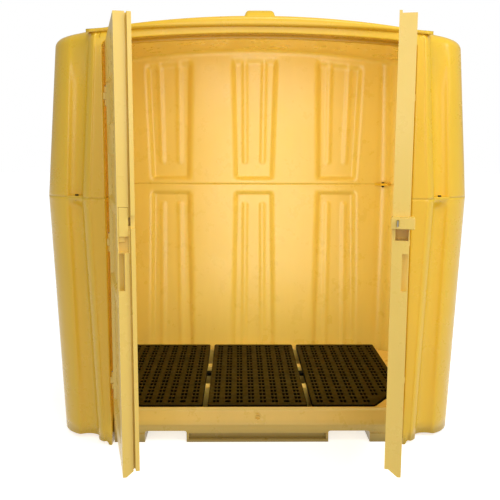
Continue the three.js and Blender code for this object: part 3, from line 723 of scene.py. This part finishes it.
def grate(name, place, body):
    """A slotted grate. The middle one also has a spacer in the gap at each of its sides."""
    bm = bmesh.new()
    low, high = DECK_TOP - GRATE_T, DECK_TOP
    slots = grate_slots(place)
    wide = [slot_ring(*slot, grow=GRATE_LIP) for slot in slots]
    true = [slot_ring(*slot) for slot in slots]
    rim = GRATE_LIP * 1.5
    outer, inner = grate_outline(place), grate_outline(place, rim)
    flat_with_holes(bm, inner, wide, high)
    flat_with_holes(bm, outer, true, low)
    for at_top, below in zip(wide, true):
        rings = [(at_top, high), (below, high - GRATE_LIP), (below, low)]
        add_grid(bm, [[(x, y, z) for x, y in ring] for ring, z in rings], closed=True)
    edge = [(inner, high), (outer, high - rim), (outer, low)]
    add_grid(bm, [[(x, y, z) for x, y in ring] for ring, z in edge], closed=True)
    if not place:
        for side in (-1, 1):
            near, far = side * (GRATE_W / 2 - 0.002), side * (GRATE_PITCH - GRATE_W / 2 - 0.001)
            ring = rounded_box_ring(SPACER_HALF_W, SPACER_HALF_H, 0.003)
            middle = low + SPACER_HALF_H
            add_bar(bm, [[(x, a, middle + b) for a, b in ring] for x in sorted((near, far))])
    piece = new_piece(f"{name}_slotted", bm, body, "grate_plastic", [name])
    mark_creases(piece)


# ---- Doors ---------------------------------------------------------------------------------

HINGE = (0.699, -HALF_Y)
OPEN = math.radians(77.3)
LEFT_FREE = 0.685
DOOR_FOOT = 0.187
DOOR_HEAD = 1.925
LATCH_Z = 1.168
TONGUE_ROOM = 0.016  # above and below the latch, where its tongue comes through


def leaf_point(side, along, depth):
    """Plan position on an open door: along it from the hinge line, and in from its outer face."""
    x = -HINGE[0] + along * math.cos(OPEN) + depth * math.sin(OPEN)
    y = HINGE[1] - along * math.sin(OPEN) + depth * math.cos(OPEN)
    return (-side * x, y)


def rebate():
    """Fills the channel beside the left door's cover lip to a shallow hollow, clear of the latch."""
    bm = bmesh.new()
    hollow = [
        (-0.033, 0.0415), (-0.0045, 0.0415), (-0.0075, 0.0455), (-0.0065, 0.0495), (-0.033, 0.0495),
    ]
    plan = [leaf_point(-1, LEFT_FREE + along, depth) for along, depth in hollow]
    for low, high in ((DOOR_FOOT, LATCH_Z - TONGUE_ROOM), (LATCH_Z + TONGUE_ROOM, DOOR_HEAD)):
        add_bar(bm, [[(x, y, z) for x, y in plan] for z in (low, high)])
    new_piece("left_door_rebate", bm, "left_leaf", "door_plastic")


# ---- Sump base -----------------------------------------------------------------------------


def solid_of(name, rings):
    """A closed solid through rings of points, as an object for cutting and joining."""
    bm = bmesh.new()
    add_bar(bm, rings)
    bmesh.ops.recalc_face_normals(bm, faces=bm.faces)
    return linked(name, mesh_of(name, bm))


def raised(outline, low, high):
    return solid_of("raised", [[(x, y, z) for x, y in outline] for z in (low, high)])


def run_back(outline, front, back):
    """A solid from (x, z) points, run from front to back."""
    return solid_of("run_back", [[(x, y, z) for x, z in outline] for y in (front, back)])


def run_across(outline, left, right):
    """A solid from (y, z) points, run from left to right."""
    return solid_of("run_across", [[(x, y, z) for y, z in outline] for x in (left, right)])


def box(low, high):
    (x0, y0, z0), (x1, y1, z1) = low, high
    return raised([(x0, y0), (x1, y0), (x1, y1), (x0, y1)], z0, z1)


def side_box(side, near, far, depths, heights):
    a, b = sorted((side * near, side * far))
    return box((a, depths[0], heights[0]), (b, depths[1], heights[1]))


def combined(body, tools):
    """The mesh that is left after each (operation, tool) pair; the solids themselves go."""
    for operation, tool in tools:
        step = body.modifiers.new("step", "BOOLEAN")
        step.operation = operation
        step.object = tool
        step.solver = "EXACT"
    bpy.context.view_layer.update()
    result = bpy.data.meshes.new_from_object(
        body.evaluated_get(bpy.context.evaluated_depsgraph_get())
    )
    for used in (body, *(tool for _, tool in tools)):
        bpy.data.objects.remove(used)
    return result


def deck_outline(grow):
    """The grates' outline together, grown outwards: a rectangle with cut front corners."""
    x = GRATE_PITCH + GRATE_W / 2 + grow
    y = GRATE_L / 2 + grow
    return [
        (-x + CUT_X, -y), (x - CUT_X, -y), (x, -y + CUT_Y), (x, y), (-x, y), (-x, -y + CUT_Y),
    ]


def sump_base():
    """The tray and its three feet as one moulding, cut from a bar with the front's profile."""
    half = [
        (BASE_NOSE, BASE_TOE), (BASE_NOSE, BASE_SHOULDER), (0.868, BASE_SHOULDER),
        (BASE_HALF, -0.385), (BASE_HALF, 0.335), (0.795, 0.445), (0.745, BASE_BACK),
    ]
    plan = [*half, *((-x, y) for x, y in reversed(half))]
    # The front slopes back under the doors from its toe.
    profile = rounded([
        (BASE_TOE, 0.0), (BASE_BACK, 0.0), (BASE_BACK, BASE_TOP), (BASE_FRONT, BASE_TOP),
        (BASE_FRONT, SLOPE_TOP), (BASE_TOE, SLOPE_BOTTOM),
    ], BASE_ROUND)
    body = run_across(profile, -1.0, 1.0)
    tools = [("INTERSECT", raised(plan, -OVER, BASE_TOP + OVER))]

    def take(tool):
        tools.append(("DIFFERENCE", tool))

    depths = (BASE_TOE - OVER, BASE_BACK + OVER)
    for side in (-1, 1):
        a, b = sorted((side * CHANNEL_IN, side * CHANNEL_OUT))
        mouth = [(a, -0.03), (b, -0.03), (b, CHANNEL_TOP), (a, CHANNEL_TOP)]
        take(run_back(rounded(mouth, CHANNEL_ROUND), *depths))
        take(side_box(
            side, CHANNEL_OUT + WELL_MARGIN, SIDE_WELL_OUT,
            (SIDE_WELL_FRONT, WELL_REACH), (WELL_FLOOR, SUMP_FLOOR + 0.001),
        ))
    middle = CHANNEL_IN - WELL_MARGIN
    ledge = DECK_TOP - GRATE_T - GRATE_FIT
    take(raised(rounded(deck_outline(DECK_ROOM), DECK_CORNER), ledge, DECK_TOP + OVER))
    take(raised(rounded(deck_outline(-DECK_LEDGE), DECK_CORNER), SUMP_FLOOR, DECK_TOP + OVER))
    take(box((-middle, -WELL_REACH, WELL_FLOOR), (middle, WELL_REACH, SUMP_FLOOR + 0.001)))
    # The lower face is set back a little, and the middle foot has a long recess above its toe.
    front = BASE_TOE - OVER
    across = BASE_NOSE + OVER
    face_head = SLOPE_BOTTOM - FACE_LEDGE
    take(box((-across, front, FACE_FOOT), (across, BASE_TOE + FACE_BACK, face_head)))
    recess = CHANNEL_IN - RECESS_MARGIN
    take(box((-recess, front, RECESS_FOOT), (recess, BASE_TOE + RECESS_DEPTH, FACE_FOOT)))
    hole = [
        (PLUG_R * math.cos(angle), PLUG_Z + PLUG_R * math.sin(angle))
        for angle in span(0, math.tau, 28)[:-1]
    ]
    take(run_back(hole, front, BASE_FRONT + PLUG_DEPTH))
    for side in (-1, 1):
        for y in (-PEDESTAL_Y, PEDESTAL_Y):
            x = side * GRATE_PITCH / 2
            low = (x - PEDESTAL_HALF, y - PEDESTAL_HALF, WELL_FLOOR - 0.001)
            high = (x + PEDESTAL_HALF, y + PEDESTAL_HALF, ledge)
            tools.append(("UNION", box(low, high)))
    mesh = combined(body, tools)
    mesh.name = "sump_base_moulding"
    replaced = ["sump_tray", "foot_left", "foot_middle", "foot_right"]
    piece = shown("sump_base_moulding", mesh, "root", "sump_plastic", replaced)
    soften(piece, BASE_EDGE)


# ---- Softened edges ------------------------------------------------------------------------


CREASE = math.radians(40)
FLAT = math.radians(0.6)
HARD_EDGE = math.radians(28)
EDGE_WIDTHS = {
    "left_door": 0.0045,
    "right_door": 0.0045,
    "keeper": 0.003,
    "latch_bar": 0.003,
    "latch_tongue": 0.0008,
    "drain_plug": 0.0015,
}
FASTENER_EDGE = 0.0006
OTHER_EDGE = 0.0015


def mark_creases(piece):
    """Makes the edges sharp where a piece's faces turn by more than CREASE."""
    bm = bmesh.new()
    bm.from_mesh(piece.data)
    sharp = {
        edge.index for edge in bm.edges
        if len(edge.link_faces) == 2 and edge.calc_face_angle() > CREASE
    }
    bm.free()
    for edge in piece.data.edges:
        edge.use_edge_sharp = edge.index in sharp


def edge_width(name):
    """How wide a CAD node's edges are rounded."""
    fastener = "pin" in name or name.startswith("seam_")
    return EDGE_WIDTHS.get(name, FASTENER_EDGE if fastener else OTHER_EDGE)


def soften(piece, width, merge=False):
    """Rounds a hard piece's edges with modifiers, which leave its mesh as it is."""
    if merge:
        weld = piece.modifiers.new("weld", "WELD")
        weld.merge_threshold = JOIN
        planar = piece.modifiers.new("planar", "DECIMATE")
        planar.decimate_type = "DISSOLVE"
        planar.angle_limit = FLAT
    bevel = piece.modifiers.new("bevel", "BEVEL")
    bevel.width = width
    bevel.segments = 3
    bevel.limit_method = "ANGLE"
    bevel.angle_limit = HARD_EDGE
    bevel.harden_normals = False
    normals = piece.modifiers.new("normals", "WEIGHTED_NORMAL")
    normals.keep_sharp = True


# ---- Materials -----------------------------------------------------------------------------

SCATTER = 0.12
SMOOTH_SPOTS = 0.24  # roughness
SCUFFED_SPOTS = 0.36
# how dark the painted shade at the sump base's foot gets
FOOT_SHADE = 0.38
METAL_GRAIN = 240
# where the painted shade down the grates' slots and sides starts and ends
SLOT_SHADE_FROM = DECK_TOP - 0.0022
SLOT_SHADE_TO = DECK_TOP - 0.0008


def node_material(name):
    material = bpy.data.materials.new(name)
    material.use_nodes = True
    tree = material.node_tree
    tree.nodes.clear()
    output = tree.nodes.new("ShaderNodeOutputMaterial")
    shader = tree.nodes.new("ShaderNodeBsdfPrincipled")
    tree.links.new(shader.outputs["BSDF"], output.inputs["Surface"])
    return material, tree, shader


def noise(tree, scale, detail=3.0, roughness=0.5, stretch=(1, 1, 1)):
    """A noise on the piece's own coordinates, in metres."""
    place = tree.nodes.new("ShaderNodeTexCoord")
    mapping = tree.nodes.new("ShaderNodeMapping")
    mapping.inputs["Scale"].default_value = stretch
    texture = tree.nodes.new("ShaderNodeTexNoise")
    texture.inputs["Scale"].default_value = scale
    texture.inputs["Detail"].default_value = detail
    texture.inputs["Roughness"].default_value = roughness
    tree.links.new(place.outputs["Object"], mapping.inputs["Vector"])
    tree.links.new(mapping.outputs["Vector"], texture.inputs["Vector"])
    return texture.outputs["Fac"]


def ramp(tree, source, *stops):
    """Colours or greys at places along a 0 to 1 value."""
    node = tree.nodes.new("ShaderNodeValToRGB")
    elements = node.color_ramp.elements
    while len(elements) < len(stops):
        elements.new(0.5)
    for element, (place, colour) in zip(elements, stops):
        element.position = place
        element.color = (*colour, 1) if isinstance(colour, tuple) else (colour,) * 3 + (1,)
    tree.links.new(source, node.inputs["Fac"])
    return node.outputs["Color"]


def shade(colour, by):
    return tuple(channel * by for channel in colour)


def blended(tree, first, second, amount):
    """Two colour outputs multiplied together by an amount."""
    node = tree.nodes.new("ShaderNodeMix")
    node.data_type = "RGBA"
    node.blend_type = "MULTIPLY"
    node.inputs["Factor"].default_value = amount
    tree.links.new(first, node.inputs["A"])
    tree.links.new(second, node.inputs["B"])
    return node.outputs["Result"]


def add_bump(tree, shader, *layers):
    """Bumps in metres, laid over each other: (height source, distance, strength)."""
    normal = None
    for source, distance, strength in layers:
        bump = tree.nodes.new("ShaderNodeBump")
        bump.inputs["Distance"].default_value = distance
        bump.inputs["Strength"].default_value = strength
        tree.links.new(source, bump.inputs["Height"])
        if normal:
            tree.links.new(normal, bump.inputs["Normal"])
        normal = bump.outputs["Normal"]
    tree.links.new(normal, shader.inputs["Normal"])


def darker_foot(tree, colour, height):
    """A colour output with painted shade: it gets darker from a height down to the floor."""
    place = tree.nodes.new("ShaderNodeTexCoord")
    parts = tree.nodes.new("ShaderNodeSeparateXYZ")
    tree.links.new(place.outputs["Object"], parts.inputs["Vector"])
    rise = tree.nodes.new("ShaderNodeMapRange")
    rise.inputs["From Max"].default_value = height
    tree.links.new(parts.outputs["Z"], rise.inputs["Value"])
    painted_foot_shade = ramp(tree, rise.outputs["Result"], (0.0, FOOT_SHADE), (1.0, 1.0))
    return blended(tree, colour, painted_foot_shade, 1.0)


def moulded_plastic(name, colour, variation=0.03, painted_shade_below=0.0):
    """Rotomoulded polyethylene: cloudy colour, a faint orange peel and scuffed gloss."""
    material, tree, shader = node_material(name)
    dark, light = shade(colour, 1 - variation), shade(colour, 1 + variation * 0.5)
    cloud = ramp(tree, noise(tree, 2.3, 4.0), (0.30, dark), (0.52, colour), (0.75, light))
    streak = ramp(tree, noise(tree, 3.0, 5.0, 0.6, (6, 6, 0.5)), (0.35, 0.97), (0.65, 1.0))
    mottled = blended(tree, cloud, streak, 0.8)
    speckle = ramp(tree, noise(tree, 260, 2.0), (0.30, 0.97), (0.42, 1.0))
    surface = blended(tree, mottled, speckle, 0.6)
    # Painted shade: the colour darkens from the given height down to the floor.
    if painted_shade_below:
        surface = darker_foot(tree, surface, painted_shade_below)
    tree.links.new(surface, shader.inputs["Base Color"])
    gloss = ramp(tree, noise(tree, 9.0, 6.0, 0.65), (0.3, SMOOTH_SPOTS), (0.7, SCUFFED_SPOTS))
    tree.links.new(gloss, shader.inputs["Roughness"])
    shader.inputs["IOR"].default_value = 1.5
    shader.inputs["Subsurface Weight"].default_value = SCATTER
    shader.inputs["Subsurface Radius"].default_value = (1.0, 0.6, 0.15)
    shader.inputs["Subsurface Scale"].default_value = 0.012
    add_bump(
        tree, shader,
        (noise(tree, 6.0, 2.0), 0.003, 0.1),
        (noise(tree, 420, 2.0), 0.00015, 0.2),
    )
    return material


def metal(name, colour, roughness):
    """Plated or blackened steel with fine drawn grain."""
    material, tree, shader = node_material(name)
    tint = ramp(tree, noise(tree, 60, 4.0), (0.3, shade(colour, 0.8)), (0.7, colour))
    tree.links.new(tint, shader.inputs["Base Color"])
    drawn = noise(tree, METAL_GRAIN, 4.0, 0.6, (1, 1, 0.1))
    grain = ramp(tree, drawn, (0.3, roughness * 0.8), (0.7, roughness * 1.2))
    tree.links.new(grain, shader.inputs["Roughness"])
    shader.inputs["Metallic"].default_value = 1.0
    add_bump(tree, shader, (noise(tree, METAL_GRAIN, 3.0), 0.0001, 0.3))
    return material


def grate_plastic(name, colour):
    """Dark moulded grate: olive on its treads, with painted shade making it almost black down its
    slots and sides.
    """
    material, tree, shader = node_material(name)
    place = tree.nodes.new("ShaderNodeTexCoord")
    parts = tree.nodes.new("ShaderNodeSeparateXYZ")
    tree.links.new(place.outputs["Object"], parts.inputs["Vector"])
    # Painted shade: below the tread top the colour goes almost black.
    depth = tree.nodes.new("ShaderNodeMapRange")
    depth.inputs["From Min"].default_value = SLOT_SHADE_FROM
    depth.inputs["From Max"].default_value = SLOT_SHADE_TO
    tree.links.new(parts.outputs["Z"], depth.inputs["Value"])
    height = ramp(tree, depth.outputs["Result"], (0.0, 0.03), (1.0, 1.0))
    cloud = ramp(tree, noise(tree, 14, 4.0), (0.3, shade(colour, 0.75)), (0.7, shade(colour, 1.25)))
    tree.links.new(blended(tree, cloud, height, 1.0), shader.inputs["Base Color"])
    gloss = ramp(tree, noise(tree, 30, 5.0), (0.3, 0.50), (0.7, 0.68))
    tree.links.new(gloss, shader.inputs["Roughness"])
    shader.inputs["Specular IOR Level"].default_value = 0.06
    add_bump(tree, shader, (noise(tree, 500, 2.0), 0.0002, 0.5))
    return material


SHELL = moulded_plastic("shell_yellow", (0.87, 0.545, 0.030))
# The inside's paler colour is painted light, for the glow that comes through the walls.
SHELL_INSIDE_PAINTED_LIGHT = moulded_plastic("shell_yellow_inside", (0.89, 0.63, 0.105))
DOOR = moulded_plastic("door_yellow", (0.87, 0.60, 0.12), variation=0.04)
# The base's colour has painted shade, darker towards the floor.
BASE = moulded_plastic("sump_yellow", (0.84, 0.58, 0.12), painted_shade_below=0.115)
GRATE = grate_plastic("grate_olive", (0.032, 0.020, 0.0008))
PLUG = moulded_plastic("plug_amber", (0.60, 0.40, 0.10), variation=0.08)
ZINC = metal("zinc_steel", (0.34, 0.32, 0.27), 0.42)
BLACK = metal("black_steel", (0.03, 0.028, 0.025), 0.5)

SLOT_MATERIALS = {
    "shell_plastic": SHELL,
    "sump_plastic": BASE,
    "door_plastic": DOOR,
    "grate_plastic": GRATE,
    "plug_plastic": PLUG,
    "black_steel": BLACK,
    "bright_steel": ZINC,
}


# ---- Assembly ------------------------------------------------------------------------------


def thicken(piece):
    """Gives a moulded skin its wall, inwards from the surface that was drawn.

    The inner face takes the skin's second material, a paler copy of the shell's colour with painted
    light for the glow through the walls.
    """
    solid = piece.modifiers.new("wall", "SOLIDIFY")
    solid.thickness = WALL
    solid.offset = -1
    solid.use_even_offset = False
    solid.use_quality_normals = True
    solid.material_offset = 1


skins = (lower_shell(), upper_shell())
for skin in skins:
    thicken(skin)
fascia()
ridge()
stop_beads()
corner_webs()
grate("grate_left", -1, "deck_left")
grate("grate_middle", 0, "deck_middle")
grate("grate_right", 1, "deck_right")
sump_base()
rebate()

for name, node in nodes.items():
    if not node.hide_render:
        soften(node, edge_width(name), merge=True)

record_slots = {part["node"]: part["material_slot"] for part in frame["record"]["subparts"]}
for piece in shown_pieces():
    kind = piece.get("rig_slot") or record_slots[piece.name]
    piece.data.materials.clear()
    piece.data.materials.append(SLOT_MATERIALS[kind])
# The inner faces get the paler copy with painted light.
for skin in skins:
    skin.data.materials.append(SHELL_INSIDE_PAINTED_LIGHT)


# ---- Floor, light and camera ---------------------------------------------------------------


FLOOR_GLOW = 0.66
FLOOR_HALF = 30
FLOOR_Z = -0.0005
SKY = 0.46
CAMERA_PLACE = (-0.0944, -3.966, 1.466)
CAMERA_ANGLES = (8.52, 0.90, 0.25)  # pitch, yaw and roll in degrees
CAMERA_LENS = 51.84


def studio_world():
    """Soft light all round. The camera sees it as plain white."""
    world = bpy.data.worlds.new("studio")
    world.use_nodes = True
    tree = world.node_tree
    background = tree.nodes["Background"]
    background.inputs["Color"].default_value = (1, 1, 1, 1)
    rays = tree.nodes.new("ShaderNodeLightPath")
    strength = tree.nodes.new("ShaderNodeMapRange")
    strength.inputs["To Min"].default_value = SKY
    strength.inputs["To Max"].default_value = 1.0
    tree.links.new(rays.outputs["Is Camera Ray"], strength.inputs["Value"])
    tree.links.new(strength.outputs["Result"], background.inputs["Strength"])
    bpy.context.scene.world = world


def studio_floor():
    """A plain white floor. Its glow keeps it white, and doesn't light the part's own surfaces."""
    bm = bmesh.new()
    places = span(-FLOOR_HALF, FLOOR_HALF, 4)
    add_grid(bm, [[(x, y, FLOOR_Z) for x in places] for y in places])
    mesh = mesh_of("studio_floor", bm)
    floor = linked("studio_floor", mesh)
    material, tree, shader = node_material("studio_white")
    tint = ramp(tree, noise(tree, 0.6, 2.0), (0.3, 0.90), (0.7, 0.93))
    tree.links.new(tint, shader.inputs["Base Color"])
    shader.inputs["Roughness"].default_value = 0.9
    shader.inputs["Emission Color"].default_value = (1, 1, 1, 1)
    shader.inputs["Emission Strength"].default_value = FLOOR_GLOW
    mesh.materials.append(material)
    floor.visible_diffuse = False


def area_light(name, place, target, size, power, seen=True):
    """A soft rectangular light that faces its target."""
    data = bpy.data.lights.new(name, "AREA")
    data.shape = "RECTANGLE"
    data.size, data.size_y = size
    data.energy = power
    lamp = bpy.data.objects.new(name, data)
    bpy.context.scene.collection.objects.link(lamp)
    lamp.location = place
    lamp.rotation_euler = (Vector(target) - Vector(place)).to_track_quat("-Z", "Y").to_euler()
    lamp.visible_camera = seen


def camera():
    """The camera, from its place, its angles in degrees and its lens."""
    place = Vector(CAMERA_PLACE)
    pitch, yaw, roll = (math.radians(angle) for angle in CAMERA_ANGLES)
    forward = Vector((
        math.sin(yaw) * math.cos(pitch), math.cos(yaw) * math.cos(pitch), -math.sin(pitch)
    ))
    level = Vector((math.cos(yaw), -math.sin(yaw), 0))
    up = level.cross(forward)
    across = level * math.cos(roll) + up * math.sin(roll)
    upright = up * math.cos(roll) - level * math.sin(roll)
    data = bpy.data.cameras.new("camera")
    data.lens = CAMERA_LENS
    data.sensor_width = 36
    eye = bpy.data.objects.new("camera", data)
    bpy.context.scene.collection.objects.link(eye)
    axes = Matrix((across, upright, -forward)).transposed()
    eye.matrix_world = Matrix.Translation(place) @ axes.to_4x4()
    bpy.context.scene.camera = eye


studio_floor()
studio_world()
area_light("key", place=(3.6, -3.4, 3.4), target=(0.3, 0, 1.0), size=(1.8, 1.8), power=76)
area_light("front", place=(-0.1, -4.6, 2.15), target=(-0.1, 0.6, 1.3), size=(2.4, 1.7), power=32)
area_light("top", place=(0.5, -2.8, 4.6), target=(0.0, -0.3, 2.0), size=(1.8, 1.2), power=49)
# This one is behind the doors when they're shut, and square to them, so it isn't on their faces.
area_light(
    "room", place=(0.12, -0.53, 1.14), target=(0.12, 0.62, 1.14), size=(1.0, 1.4), power=10.0,
    seen=False,
)
bpy.context.scene.view_settings.view_transform = "Standard"
camera()
